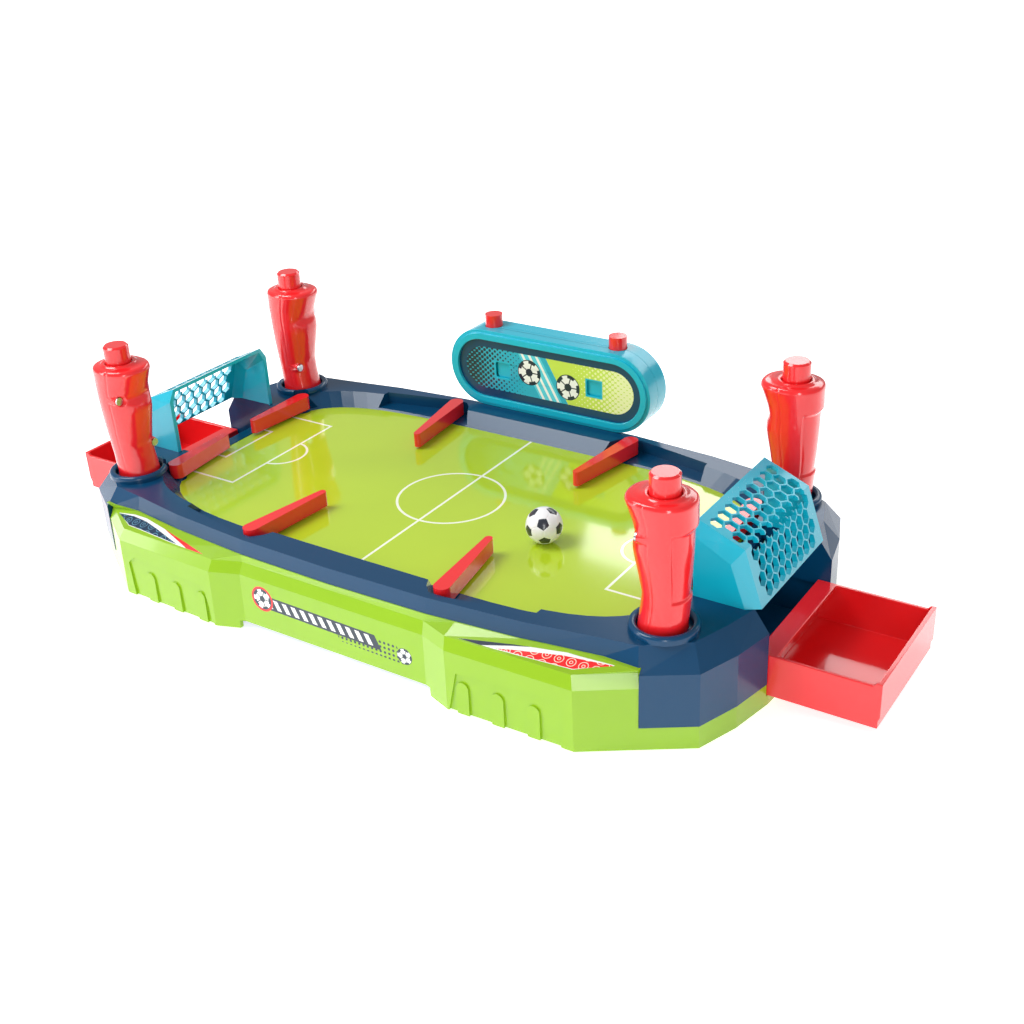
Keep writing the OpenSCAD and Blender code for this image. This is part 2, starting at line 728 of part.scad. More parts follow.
module crank(x, y) {
  color([0.85, 0.85, 0.82]) translate([x, y, 0]) {
    difference() {
      union() {
        translate([0, 0, crank_low]) cylinder(r = shaft_radius + 2.6, h = crank_top - crank_low);
        translate([0, 0, arm_low]) linear_extrude(crank_top - arm_low) union() {
          rotate([0, 0, flipper_swing / 2]) translate([-2.8, -crank_arm]) square([5.6, crank_arm]);
          translate([pin_x, -pin_y]) circle(r = 3);
        }
      }
      translate([0, 0, crank_low - 1]) cylinder(r = shaft_radius, h = crank_top - crank_low + 2);
    }
    translate([pin_x, -pin_y, bar_low - 1.6]) cylinder(r = pin_radius, h = arm_low - bar_low + 2);
  }
}

module side_crank() {
  crank(side_pivot_x, side_pivot_y);
}

module goal_crank() {
  crank(goal_pivot_x, goal_pivot_y);
}

// ---- scoreboard ----

// stadium standing on edge, from one depth to another
module stadium(front, back, r) {
  translate([0, back, score_mid]) rotate([90, 0, 0]) linear_extrude(back - front) {
    translate([-flat_half, -r]) square([2 * flat_half, 2 * r]);
    translate([-flat_half, 0]) circle(r = r, $fn = 72);
    translate([flat_half, 0]) circle(r = r, $fn = 72);
  }
}

module score_button_holes() {
  for (s = [-1, 1]) rod(s * score_button_x, score_button_y, score_mid, score_button_top + 5,
    score_button_radius + 0.35);
}

module scoreboard_front() {
  full = board_height / 2;
  color(teal) difference() {
    union() {
      stadium(score_front, score_front + 1.5, full - 2.5);
      stadium(score_front + 1.5, score_seam, full);
    }
    stadium(score_front + wall, score_seam + 1, full - wall);
    stadium(score_front - 1, score_front + wall + 1, panel_radius);
    score_button_holes();
  }
}

module scoreboard_back() {
  full = board_height / 2;
  color(teal) {
    difference() {
      union() {
        stadium(score_seam, score_rear - 1.5, full);
        stadium(score_rear - 1.5, score_rear, full - 2.5);
      }
      stadium(score_seam - 1, score_rear - wall, full - wall);
      score_button_holes();
      for (s = [-1, 1]) rod(s * shelf_screw_x, shelf_screw_y, rim_top - 1, rim_top + wall + 1, 1.5);
    }
    for (s = [-1, 1]) {
      translate([s * wheel_x, score_rear - wall + 0.1, score_mid]) rotate([90, 0, 0])
        cylinder(r = axle_radius + 2.4, h = score_rear - wall - wheel_front - 6.4);
      translate([s * wheel_x, score_rear - wall, score_mid]) rotate([90, 0, 0])
        cylinder(r = axle_radius, h = score_rear - wall - wheel_front - 0.2);
      difference() {
        rod(s * shelf_screw_x, shelf_screw_y, rim_top + wall - 0.1, rim_top + 11, 3.6);
        rod(s * shelf_screw_x, shelf_screw_y, rim_top + wall - 1, rim_top + 9, 1.5);
      }
    }
  }
}

module score_panel() {
  color(navy) difference() {
    stadium(score_front + wall, score_front + wall + 1.2, panel_radius + 2);
    for (s = [-1, 1]) translate([s * window_x, score_front + 10, score_mid]) rotate([90, 0, 0])
      linear_extrude(20) {
        square([11.4, 8.4], center = true);
        square([8.4, 11.4], center = true);
        for (a = [-1, 1]) for (b = [-1, 1]) translate([a * 4.2, b * 4.2]) circle(r = 1.5, $fn = 16);
      }
  }
}

module score_button() {
  color(red) translate([score_button_x, score_button_y, 0]) {
    translate([0, 0, score_button_top - 20]) cylinder(r = score_button_radius, h = 20);
    translate([0, 0, score_button_top - 17.4]) cylinder(r = score_button_radius + 1.4, h = 2);
    translate([0, 0, score_mid + 6]) cylinder(r = 2.6, h = score_button_top - score_mid - 16);
  }
}

module score_wheel() {
  color(teal) translate([wheel_x, wheel_front, score_mid]) rotate([-90, 0, 0])
    difference() {
      union() {
        cylinder(r = wheel_radius, h = 2);
        cylinder(r = axle_radius + 2.4, h = 5.6);
        // ten ratchet teeth on the back
        translate([0, 0, 1.8]) linear_extrude(2.4)
          polygon([for (i = [0:9]) for (k = [0, 1])
            let (a = 36 * i + (k == 0 ? 0 : 30), r = k == 0 ? 8 : 11)
            [r * cos(a), r * sin(a)]]);
      }
      translate([0, 0, -1]) cylinder(r = axle_radius + run, h = 10);
    }
}

module scoreboard_screws() {
  color([0.6, 0.6, 0.62]) for (s = [-1, 1]) translate([s * shelf_screw_x, shelf_screw_y, 0])
    screw(shelf_low, 13, screw_radius, 2.8);
}

module game_ball() {
  color([0.95, 0.95, 0.95]) translate([ball_x, ball_y, pitch_level + gap + ball_diameter / 2])
    sphere(d = ball_diameter);
}

base_housing();
bottom_cover();
top_frame();
pitch_board();
mirror([1, 0, 0]) goal();  // left_goal
goal();  // right_goal
mirror([1, 0, 0]) drawer();  // left_drawer
drawer();  // right_drawer
rubber_feet();
cover_screws();
corner(-1, -1) grip_inner();  // front_left_grip_inner
corner(1, -1) grip_inner();  // front_right_grip_inner
corner(-1, 1) grip_inner();  // rear_left_grip_inner
corner(1, 1) grip_inner();  // rear_right_grip_inner
corner(-1, -1) grip_outer();  // front_left_grip_outer
corner(1, -1) grip_outer();  // front_right_grip_outer
corner(-1, 1) grip_outer();  // rear_left_grip_outer
corner(1, 1) grip_outer();  // rear_right_grip_outer
corner(-1, -1) plunger();  // front_left_plunger
corner(1, -1) plunger();  // front_right_plunger
corner(-1, 1) plunger();  // rear_left_plunger
corner(1, 1) plunger();  // rear_right_plunger
corner(-1, -1) spring();  // front_left_spring
corner(1, -1) spring();  // front_right_spring
corner(-1, 1) spring();  // rear_left_spring
corner(1, 1) spring();  // rear_right_spring
corner(-1, -1) drive_bar();  // front_left_drive_bar
corner(1, -1) drive_bar();  // front_right_drive_bar
corner(-1, 1) drive_bar();  // rear_left_drive_bar
corner(1, 1) drive_bar();  // rear_right_drive_bar
corner(-1, -1) side_flipper();  // front_left_side_flipper
corner(1, -1) side_flipper();  // front_right_side_flipper
corner(-1, 1) side_flipper();  // rear_left_side_flipper
corner(1, 1) side_flipper();  // rear_right_side_flipper
corner(-1, -1) goal_flipper();  // front_left_goal_flipper
corner(1, -1) goal_flipper();  // front_right_goal_flipper
corner(-1, 1) goal_flipper();  // rear_left_goal_flipper
corner(1, 1) goal_flipper();  // rear_right_goal_flipper
corner(-1, -1) side_crank();  // front_left_side_crank
corner(1, -1) side_crank();  // front_right_side_crank
corner(-1, 1) side_crank();  // rear_left_side_crank
corner(1, 1) side_crank();  // rear_right_side_crank
corner(-1, -1) goal_crank();  // front_left_goal_crank
corner(1, -1) goal_crank();  // front_right_goal_crank
corner(-1, 1) goal_crank();  // rear_left_goal_crank
corner(1, 1) goal_crank();  // rear_right_goal_crank
grip_screws();
scoreboard_front();
scoreboard_back();
score_panel();
mirror([1, 0, 0]) score_button();  // left_score_button
score_button();  // right_score_button
mirror([1, 0, 0]) score_wheel();  // left_score_wheel
score_wheel();  // right_score_wheel
scoreboard_screws();
game_ball();
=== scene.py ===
"""Tabletop foosball: finishes, smooth grips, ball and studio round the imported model."""
import json
import math

import bpy
import numpy as np
from mathutils import Matrix, Vector


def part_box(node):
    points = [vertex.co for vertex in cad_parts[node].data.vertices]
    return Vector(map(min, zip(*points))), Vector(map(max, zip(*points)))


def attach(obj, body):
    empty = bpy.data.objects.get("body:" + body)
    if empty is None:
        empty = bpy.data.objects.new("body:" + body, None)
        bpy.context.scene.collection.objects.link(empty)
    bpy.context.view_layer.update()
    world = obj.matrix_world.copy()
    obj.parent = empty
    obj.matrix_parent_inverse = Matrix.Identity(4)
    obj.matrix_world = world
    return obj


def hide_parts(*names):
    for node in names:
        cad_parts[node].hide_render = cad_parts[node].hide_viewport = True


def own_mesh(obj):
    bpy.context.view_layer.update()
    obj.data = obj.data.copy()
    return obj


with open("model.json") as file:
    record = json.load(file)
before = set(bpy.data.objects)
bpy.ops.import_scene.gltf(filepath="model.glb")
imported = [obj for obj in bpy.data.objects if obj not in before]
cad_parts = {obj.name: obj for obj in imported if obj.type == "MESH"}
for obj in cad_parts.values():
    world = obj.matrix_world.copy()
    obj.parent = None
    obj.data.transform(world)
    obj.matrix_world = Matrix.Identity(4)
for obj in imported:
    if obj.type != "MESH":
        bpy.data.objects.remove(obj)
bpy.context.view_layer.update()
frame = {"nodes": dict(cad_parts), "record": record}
MM = 0.001
CORNERS = {
    "front_left": (-1, -1),
    "front_right": (1, -1),
    "rear_left": (-1, 1),
    "rear_right": (1, 1),
}

# ---- sizes taken from the frame ----

pitch_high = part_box("pitch_board")[1]
panel_low, panel_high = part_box("score_panel")
ball_low, ball_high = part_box("game_ball")
PITCH_LEVEL = pitch_high[2]
RIM_LEVEL = PITCH_LEVEL + 9.5 * MM  # the deck that the grips stand on
BALL_CENTRE = (np.array(ball_low) + np.array(ball_high)) / 2
BALL_RADIUS = (ball_high[2] - ball_low[2]) / 2
PANEL_MIDDLE = (panel_low[2] + panel_high[2]) / 2

# ---- colours ----

LIME = (0.27, 0.49, 0.006)
NAVY = (0.001, 0.050, 0.130)
RED = (0.86, 0.014, 0.018)
TEAL = (0.004, 0.46, 0.62)
WHITE = (0.90, 0.91, 0.88)
CREAM = (0.93, 0.78, 0.62)
INK = (0.010, 0.022, 0.050)
OFF_WHITE = (0.80, 0.80, 0.76)
PITCH_LIME = (0.47, 0.66, 0.022)
PITCH_LINE = (0.93, 0.96, 0.80)
STICKER_NAVY = (0.004, 0.030, 0.075)
COMB_BLUE = (0.10, 0.30, 0.45)
PANEL_TEAL = (0.02, 0.42, 0.58)
STRIPE_TEAL = (0.10, 0.62, 0.76)
PANEL_LIME = (0.58, 0.76, 0.10)
HOLE_LIME = (0.86, 0.93, 0.50)
BALL_WHITE = (0.90, 0.90, 0.91)
BALL_DARK = (0.025, 0.03, 0.045)
PLATED_STEEL = (0.60, 0.60, 0.62)
SPRING_WIRE = (0.66, 0.66, 0.68)
FOOT_RUBBER = (0.022, 0.022, 0.025)


# ---- fields: numbers that vary over a surface ----

class Field:
    """A number that varies over a surface, held as a socket, so that formulas read as sums."""

    def __init__(self, tree, socket):
        self.tree = tree
        self.socket = socket

    def apply(self, operation, *others):
        node = self.tree.nodes.new("ShaderNodeMath")
        node.operation = operation
        self.tree.links.new(self.socket, node.inputs[0])
        for place, other in enumerate(others, start=1):
            if isinstance(other, Field):
                self.tree.links.new(other.socket, node.inputs[place])
            else:
                node.inputs[place].default_value = other
        return Field(self.tree, node.outputs[0])

    def __add__(self, other):
        return self.apply("ADD", other)

    def __sub__(self, other):
        return self.apply("SUBTRACT", other)

    def __mul__(self, other):
        return self.apply("MULTIPLY", other)

    def __truediv__(self, other):
        return self.apply("DIVIDE", other)

    def size(self):
        return self.apply("ABSOLUTE")

    def root(self):
        return self.apply("SQRT")

    def repeat(self, step):
        """Distance from the nearest whole multiple of step, signed."""
        return (self / step + 0.5).apply("FRACT") * step - step / 2

    def under(self, limit):
        return self.apply("LESS_THAN", limit)

    def over(self, limit):
        return self.apply("GREATER_THAN", limit)

    def larger(self, other):
        return self.apply("MAXIMUM", other)

    def smaller(self, other):
        return self.apply("MINIMUM", other)

    def inverse(self):
        return self * -1.0 + 1.0


def object_place(tree):
    """The surface point in the object's own coordinates, as three fields in metres."""
    where = tree.nodes.new("ShaderNodeTexCoord")
    split = tree.nodes.new("ShaderNodeSeparateXYZ")
    tree.links.new(where.outputs["Object"], split.inputs[0])
    return [Field(tree, split.outputs[i]) for i in range(3)]


def face_direction(tree):
    """The surface's own direction, as three fields."""
    geometry = tree.nodes.new("ShaderNodeNewGeometry")
    turn = tree.nodes.new("ShaderNodeVectorTransform")
    turn.vector_type = "NORMAL"
    turn.convert_from = "WORLD"
    turn.convert_to = "OBJECT"
    split = tree.nodes.new("ShaderNodeSeparateXYZ")
    tree.links.new(geometry.outputs["True Normal"], turn.inputs[0])
    tree.links.new(turn.outputs[0], split.inputs[0])
    return [Field(tree, split.outputs[i]) for i in range(3)]


def distance(a, b):
    return (a * a + b * b).root()


def inside_box(a, b, half_a, half_b):
    """Positive outside a rectangle of those half sizes, negative inside it."""
    return (a.size() - half_a).larger(b.size() - half_b)


def wedge(a, b, corners):
    """1 inside the convex outline through the corners, and 0 outside it."""
    edges = list(zip(corners, corners[1:] + corners[:1]))
    area = sum(a0 * b1 - a1 * b0 for (a0, b0), (a1, b1) in edges)
    turn = 1.0 if area > 0 else -1.0
    result = None
    for (a0, b0), (a1, b1) in edges:
        side = (b - b0) * ((a1 - a0) * turn) - (a - a0) * ((b1 - b0) * turn)
        part = side.over(0.0)
        result = part if result is None else result * part
    return result


def football(tree, colour, a, b, radius, where=None):
    """A plain printed football: white disc, dark middle and edge patches, five spokes and a rim."""
    # shares of the radius, and half the angle that an edge patch covers
    middle_patch, edge_patch, spoke, rim = 0.30, 0.72, 0.045, 0.93
    patch_angle = 0.36
    reach = distance(a, b)
    fifth = 2 * math.pi / 5
    off_spoke = b.apply("ARCTAN2", a).repeat(fifth).size()
    dark = reach.under(middle_patch * radius)
    dark = dark.larger(off_spoke.under(patch_angle) * reach.over(edge_patch * radius))
    dark = dark.larger((off_spoke * reach).under(spoke * radius))
    dark = dark.larger(reach.over(rim * radius))
    disc = reach.under(radius)
    if where is not None:
        disc = disc * where
    colour = paint(tree, colour, disc, WHITE)
    return paint(tree, colour, disc * dark, INK)


def paint(tree, under, mask, over):
    """Colour under, with colour over laid on it where the mask is 1."""
    mix = tree.nodes.new("ShaderNodeMix")
    mix.data_type = "RGBA"
    tree.links.new(mask.socket, mix.inputs["Factor"])
    for name, value in (("A", under), ("B", over)):
        socket = [s for s in mix.inputs if s.name == name and s.type == "RGBA"][0]
        if isinstance(value, tuple):
            socket.default_value = (*value, 1.0)
        else:
            tree.links.new(value, socket)
    return [s for s in mix.outputs if s.type == "RGBA"][0]


# ---- shared effect: the skin of a moulded plastic piece ----

def make_moulded_skin():
    """Group: Colour and Roughness in, both out with faint flow marks, and a Height of fine grain."""
    group = bpy.data.node_groups.new("moulded skin", "ShaderNodeTree")
    for side, last in (("INPUT", "Flow"), ("OUTPUT", "Height")):
        for name, kind in (("Colour", "Color"), ("Roughness", "Float"), (last, "Float")):
            group.interface.new_socket(name, in_out=side, socket_type="NodeSocket" + kind)
    entry = group.nodes.new("NodeGroupInput")
    leave = group.nodes.new("NodeGroupOutput")
    where = group.nodes.new("ShaderNodeTexCoord")

    def noise(scale, detail):
        node = group.nodes.new("ShaderNodeTexNoise")
        node.inputs["Scale"].default_value = scale
        node.inputs["Detail"].default_value = detail
        group.links.new(where.outputs["Object"], node.inputs["Vector"])
        return Field(group, node.outputs[0])

    # noise scales per metre, from broad flow marks to fine grain
    flow_scale, orange_peel_scale, grain_scale = 16.0, 420.0, 900.0
    flow = (noise(flow_scale, 3.0) - 0.5) * Field(group, entry.outputs["Flow"])
    tone = group.nodes.new("ShaderNodeHueSaturation")
    group.links.new(entry.outputs["Colour"], tone.inputs["Color"])
    group.links.new((flow + 1.0).socket, tone.inputs["Value"])
    grain = noise(grain_scale, 2.0)
    rough = Field(group, entry.outputs["Roughness"]) + flow * 0.25 + (grain - 0.5) * 0.05
    group.links.new(tone.outputs[0], leave.inputs["Colour"])
    group.links.new(rough.socket, leave.inputs["Roughness"])
    height = noise(orange_peel_scale, 1.0) * 0.6 + grain * 0.4
    group.links.new(height.socket, leave.inputs["Height"])
    return group


MOULDED_SKIN = make_moulded_skin()
GRAIN_STRENGTH = 0.12
COAT_ROUGHNESS = 0.06


def start_material(name):
    material = bpy.data.materials.new(name)
    material.use_nodes = True
    return material, material.node_tree, material.node_tree.nodes["Principled BSDF"]


def finish_moulded(tree, shader, colour, roughness, flow=0.16, coat=0.3, depth=0.012, shine=0.5):
    """Passes a colour (a tuple or a socket) through the moulded skin into the shader."""
    skin = tree.nodes.new("ShaderNodeGroup")
    skin.node_tree = MOULDED_SKIN
    skin.inputs["Roughness"].default_value = roughness
    skin.inputs["Flow"].default_value = flow
    if isinstance(colour, tuple):
        skin.inputs["Colour"].default_value = (*colour, 1.0)
    else:
        tree.links.new(colour, skin.inputs["Colour"])
    tree.links.new(skin.outputs["Colour"], shader.inputs["Base Color"])
    tree.links.new(skin.outputs["Roughness"], shader.inputs["Roughness"])
    bump = tree.nodes.new("ShaderNodeBump")
    bump.inputs["Strength"].default_value = GRAIN_STRENGTH
    bump.inputs["Distance"].default_value = depth * MM
    tree.links.new(skin.outputs["Height"], bump.inputs["Height"])
    tree.links.new(bump.outputs[0], shader.inputs["Normal"])
    shader.inputs["Coat Weight"].default_value = coat
    shader.inputs["Coat Roughness"].default_value = COAT_ROUGHNESS
    shader.inputs["Specular IOR Level"].default_value = shine


def moulded_plastic(name, colour, roughness=0.22, **more):
    material, tree, shader = start_material(name)
    finish_moulded(tree, shader, colour, roughness, **more)
    return material


# ---- printed finishes ----

def pitch_material():
    """Lime board with the white lines: halfway line, centre circle, penalty and goal areas, arcs."""
    material, tree, shader = start_material("printed pitch")
    x, y, z = object_place(tree)
    line = 0.85 * MM
    circle_radius = 35.5 * MM
    box_front, box_half = 146 * MM, 52 * MM
    area_front, area_half = 179 * MM, 24 * MM
    arc_centre, arc_radius = 148 * MM, 18 * MM
    marks = x.size().under(line)
    marks = marks.larger((distance(x, y) - circle_radius).size().under(line))
    for front, half in ((box_front, box_half), (area_front, area_half)):
        edge = (y.size() - half).larger(x.size() * -1.0 + front)
        marks = marks.larger(edge.size().under(line))
    arc = (distance(x.size() - arc_centre, y) - arc_radius).size().under(line)
    marks = marks.larger(arc * x.size().under(box_front))
    top_face = z.over(PITCH_LEVEL - 0.2 * MM)
    colour = paint(tree, PITCH_LIME, marks * top_face, PITCH_LINE)
    finish_moulded(tree, shader, colour, 0.10, flow=0.10, coat=0.7, depth=0.004)
    return material


def housing_material():
    """Lime shell with a pointed sticker on each corner deck and a striped one on the front."""
    material, tree, shader = start_material("lime shell with stickers")
    x, y, z = object_place(tree)
    _, ny, nz = face_direction(tree)
    across, along = y.size(), x.size()
    deck = nz.over(0.45) * z.over(PITCH_LEVEL - 8 * MM)
    right = x.over(0.0)
    left = right.inverse()

    def outline(points):
        return wedge(along, across, [(a * MM, b * MM) for a, b in points])

    whole = outline([(97, 130.6), (160, 117.5), (188, 116.2), (168, 126.5), (121, 129.8)]) * deck
    dark = outline([(97, 130.6), (120, 125.8), (140, 121.6), (112, 130.2)]) * deck
    field = outline([(121, 129.4), (158, 120.0), (188, 116.6), (168, 126.1)]) * deck
    # honeycomb lines over the bright field
    step, row_share, row_shift = 7.5 * MM, 0.87, 1.5 * MM
    outer_ring, inner_ring = 2.6 * MM, 0.9 * MM
    rings = distance(along.repeat(step), (across + row_shift).repeat(step * row_share))
    comb = (rings - outer_ring).size().under(0.22 * MM)
    comb = comb.larger((rings - inner_ring).size().under(0.2 * MM))
    colour = paint(tree, LIME, whole, WHITE)
    colour = paint(tree, colour, dark * right, INK)
    colour = paint(tree, colour, dark * left, RED)
    colour = paint(tree, colour, field * right, RED)
    colour = paint(tree, colour, field * left, STICKER_NAVY)
    colour = paint(tree, colour, field * comb * right, CREAM)
    colour = paint(tree, colour, field * comb * left, COMB_BLUE)

    # front skirt: a ball at each end of a banner of slanting blocks, and a field of dots
    skirt = ny.under(-0.7) * along.under(68 * MM)
    lean = x + z * 0.5
    height = z + x * 0.02
    banner_x, banner_z = 3 * MM, 25 * MM
    block_step, dot_step = 7 * MM, 3.2 * MM
    left_ball_x, left_ball_z = 53 * MM, 27.5 * MM
    right_ball_x, right_ball_z = 56 * MM, 21 * MM
    banner = inside_box(lean - banner_x, height - banner_z, 46 * MM, 4.6 * MM).under(0.0)
    core = inside_box(lean - banner_x, height - banner_z, 44 * MM, 3.2 * MM).under(0.0)
    bars = lean.repeat(block_step).size().under(1.7 * MM)
    fade = inside_box(lean - 40 * MM, height - 22 * MM, 24 * MM, 5.5 * MM).under(0.0)
    dots = distance(x.repeat(dot_step), z.repeat(dot_step)).under(0.9 * MM)
    disc = distance(x + left_ball_x, z - left_ball_z).under(8.6 * MM)
    colour = paint(tree, colour, skirt * fade * dots, INK)
    colour = paint(tree, colour, skirt * banner, INK)
    colour = paint(tree, colour, skirt * core * bars, WHITE)
    colour = paint(tree, colour, skirt * disc, RED)
    colour = football(tree, colour, x + left_ball_x, z - left_ball_z, 7.2 * MM, skirt)
    colour = football(tree, colour, x - right_ball_x, z - right_ball_z, 5.4 * MM, skirt)
    finish_moulded(tree, shader, colour, 0.24)
    return material


def score_panel_material():
    """Navy ring round two fields: dotted teal on the left, honeycombed lime on the right."""
    material, tree, shader = start_material("printed score panel")
    x, _, z = object_place(tree)
    up = z - PANEL_MIDDLE
    field_radius, dot_step, row = 15.8 * MM, 4.5 * MM, 3.9 * MM
    window_x, window_half, window_line = 38 * MM, 5.9 * MM, 0.9 * MM
    ball_radius = 9.6 * MM
    flat = panel_high[0] - (panel_high[2] - panel_low[2]) / 2
    reach = distance((x.size() - flat).larger(0.0), up)
    field = reach.under(field_radius)
    lean = x + up * 0.55
    right = lean.over(8 * MM)
    shifted = distance((x + 1 * MM).repeat(dot_step), up.repeat(row))
    between = distance((x + 3.25 * MM).repeat(dot_step), (up + row / 2).repeat(row))
    nearest = shifted.smaller(between)
    # dots shrink towards the middle
    grow = (x.size() / (62 * MM)).smaller(1.0)
    dots = nearest.under(grow * (1.9 * MM) - 0.35 * MM)
    holes = nearest.under(grow * (2.2 * MM) - 0.55 * MM)
    stripes = (lean + 6 * MM).size().under(9 * MM)
    fine = lean.repeat(6 * MM).size().under(1.1 * MM)
    colour = paint(tree, PANEL_TEAL, dots, INK)
    colour = paint(tree, colour, stripes, STRIPE_TEAL)
    colour = paint(tree, colour, stripes * fine, WHITE)
    colour = paint(tree, colour, right, PANEL_LIME)
    colour = paint(tree, colour, right * holes * x.over(16 * MM), HOLE_LIME)
    for place in (-15.0, 17.0):
        colour = football(tree, colour, x - place * MM, up + place / 6 * MM, ball_radius)
    colour = paint(tree, NAVY, field, colour)
    # surround of the two windows over the score wheels
    window = inside_box(x.size() - window_x, up, window_half, window_half)
    colour = paint(tree, colour, (window - window_line).under(0.0), TEAL)
    finish_moulded(tree, shader, colour, 0.20, flow=0.06)
    return material


def ball_material():
    """White ball with dark panels, from the attribute that the ball's mesh carries."""
    material, tree, shader = start_material("football skin")
    patch = tree.nodes.new("ShaderNodeAttribute")
    patch.attribute_name = "patch"
    colour = paint(tree, BALL_WHITE, Field(tree, patch.outputs["Fac"]), BALL_DARK)
    finish_moulded(tree, shader, colour, 0.24, flow=0.05)
    return material


def metal_material(name, colour):
    material, tree, shader = start_material(name)
    finish_moulded(tree, shader, colour, 0.28, flow=0.10, coat=0.0)
    shader.inputs["Metallic"].default_value = 1.0
    return material


def rubber_material():
    material, tree, shader = start_material("foot rubber")
    finish_moulded(tree, shader, FOOT_RUBBER, 0.75, coat=0.0, depth=0.05)
    return material


FINISHES = {
    "lime_plastic": housing_material(),
    "navy_plastic": moulded_plastic("navy plastic", NAVY, 0.24, coat=0.12, shine=0.36),
    "red_plastic": moulded_plastic("red plastic", RED, 0.20, coat=0.6),
    "teal_plastic": moulded_plastic("turquoise plastic", TEAL, 0.26),
    "white_plastic": moulded_plastic("off-white plastic", OFF_WHITE, 0.35),
    "pitch_print": pitch_material(),
    "score_print": score_panel_material(),
    "ball_print": ball_material(),
    "steel": metal_material("plated steel", PLATED_STEEL),
    "spring_steel": metal_material("spring wire", SPRING_WIRE),
    "foot_rubber": rubber_material(),
}


# ---- carried-over pieces: finish and softened edges ----

def soften(piece, width, limit=28.0, segments=2):
    """Welds the loose triangles in the modifier stack, rounds the sharp edges and evens the shading."""
    weld = piece.modifiers.new("weld", "WELD")
    weld.merge_threshold = 0.002 * MM
    bevel = piece.modifiers.new("edge radius", "BEVEL")
    bevel.width = width
    bevel.segments = segments
    bevel.limit_method = "ANGLE"
    bevel.angle_limit = math.radians(limit)
    bevel.harden_normals = False
    shade = piece.modifiers.new("even shading", "WEIGHTED_NORMAL")
    shade.keep_sharp = True


# radius of each piece's softened edges, in mm
EDGE_RADIUS = {
    "base_housing": 0.8, "top_frame": 0.6, "left_goal": 0.35, "right_goal": 0.35,
    "left_drawer": 0.5, "right_drawer": 0.5, "scoreboard_front": 0.9, "scoreboard_back": 0.9,
    "left_score_button": 0.7, "right_score_button": 0.7, "score_panel": 0.15,
}
for corner in CORNERS:
    EDGE_RADIUS[corner + "_side_flipper"] = 0.9
    EDGE_RADIUS[corner + "_goal_flipper"] = 0.9
    EDGE_RADIUS[corner + "_plunger"] = 0.7

for entry in frame["record"]["subparts"]:
    piece = frame["nodes"][entry["node"]]
    piece.data.materials.clear()
    piece.data.materials.append(FINISHES[entry["material_slot"]])
    if entry["node"] in EDGE_RADIUS:
        soften(piece, EDGE_RADIUS[entry["node"]] * MM)


# ---- new pieces: surfaces on a grid ----

def grid_piece(name, points, slot, body, closed_ends=True, flip=False, attribute=None):
    """Tube from points[row, column, xyz], whose columns wrap round. Each end is one polygon, or is
    left open for a weld where the last row repeats the first."""
    rows, columns = points.shape[:2]
    low = np.arange(columns)
    high = (low + 1) % columns
    starts = (np.arange(rows - 1) * columns)[:, None]
    above = starts + columns
    quads = np.stack([starts + low, starts + high, above + high, above + low], -1).reshape(-1, 4)
    faces = (quads[:, ::-1] if flip else quads).tolist()
    if closed_ends:
        ends = [low[::-1], (rows - 1) * columns + low]
        faces += [(end[::-1] if flip else end).tolist() for end in ends]
    mesh = bpy.data.meshes.new(name)
    mesh.from_pydata(points.reshape(-1, 3), [], faces)
    if attribute is not None:
        values = mesh.attributes.new("patch", "FLOAT", "POINT")
        values.data.foreach_set("value", attribute.reshape(-1).astype(np.float32))
    mesh.shade_smooth()
    piece = bpy.data.objects.new(name, mesh)
    bpy.context.scene.collection.objects.link(piece)
    mesh.materials.append(FINISHES[slot])
    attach(piece, body)
    return piece


def bump_at(value, place, width):
    """1 at the place, falling smoothly to 0 a few widths away."""
    return np.exp(-((value - place) / width) ** 2)


def smooth_step(value, start, end):
    """0 up to the start and 1 past the end, with a cubic between them that is level at both."""
    t = np.clip((value - start) / (end - start), 0.0, 1.0)
    return t * t * (3 - 2 * t)


# up a grip: share of its height, then centre offset and half widths along X and Y, in mm
GRIP_PROFILE = np.array([
    (0.00, -0.8, 13.6, 13.2), (0.05, -0.6, 13.2, 13.0), (0.12, 0.2, 13.2, 12.8),
    (0.20, 0.9, 13.0, 12.6), (0.30, 1.5, 13.5, 13.0), (0.42, 1.3, 14.6, 14.0),
    (0.54, 0.6, 15.9, 15.0), (0.62, 0.2, 16.6, 15.6), (0.72, 0.6, 16.3, 15.9),
    (0.82, 0.4, 16.8, 16.0), (0.90, -0.9, 18.0, 16.4), (0.96, -1.9, 19.2, 16.6),
])


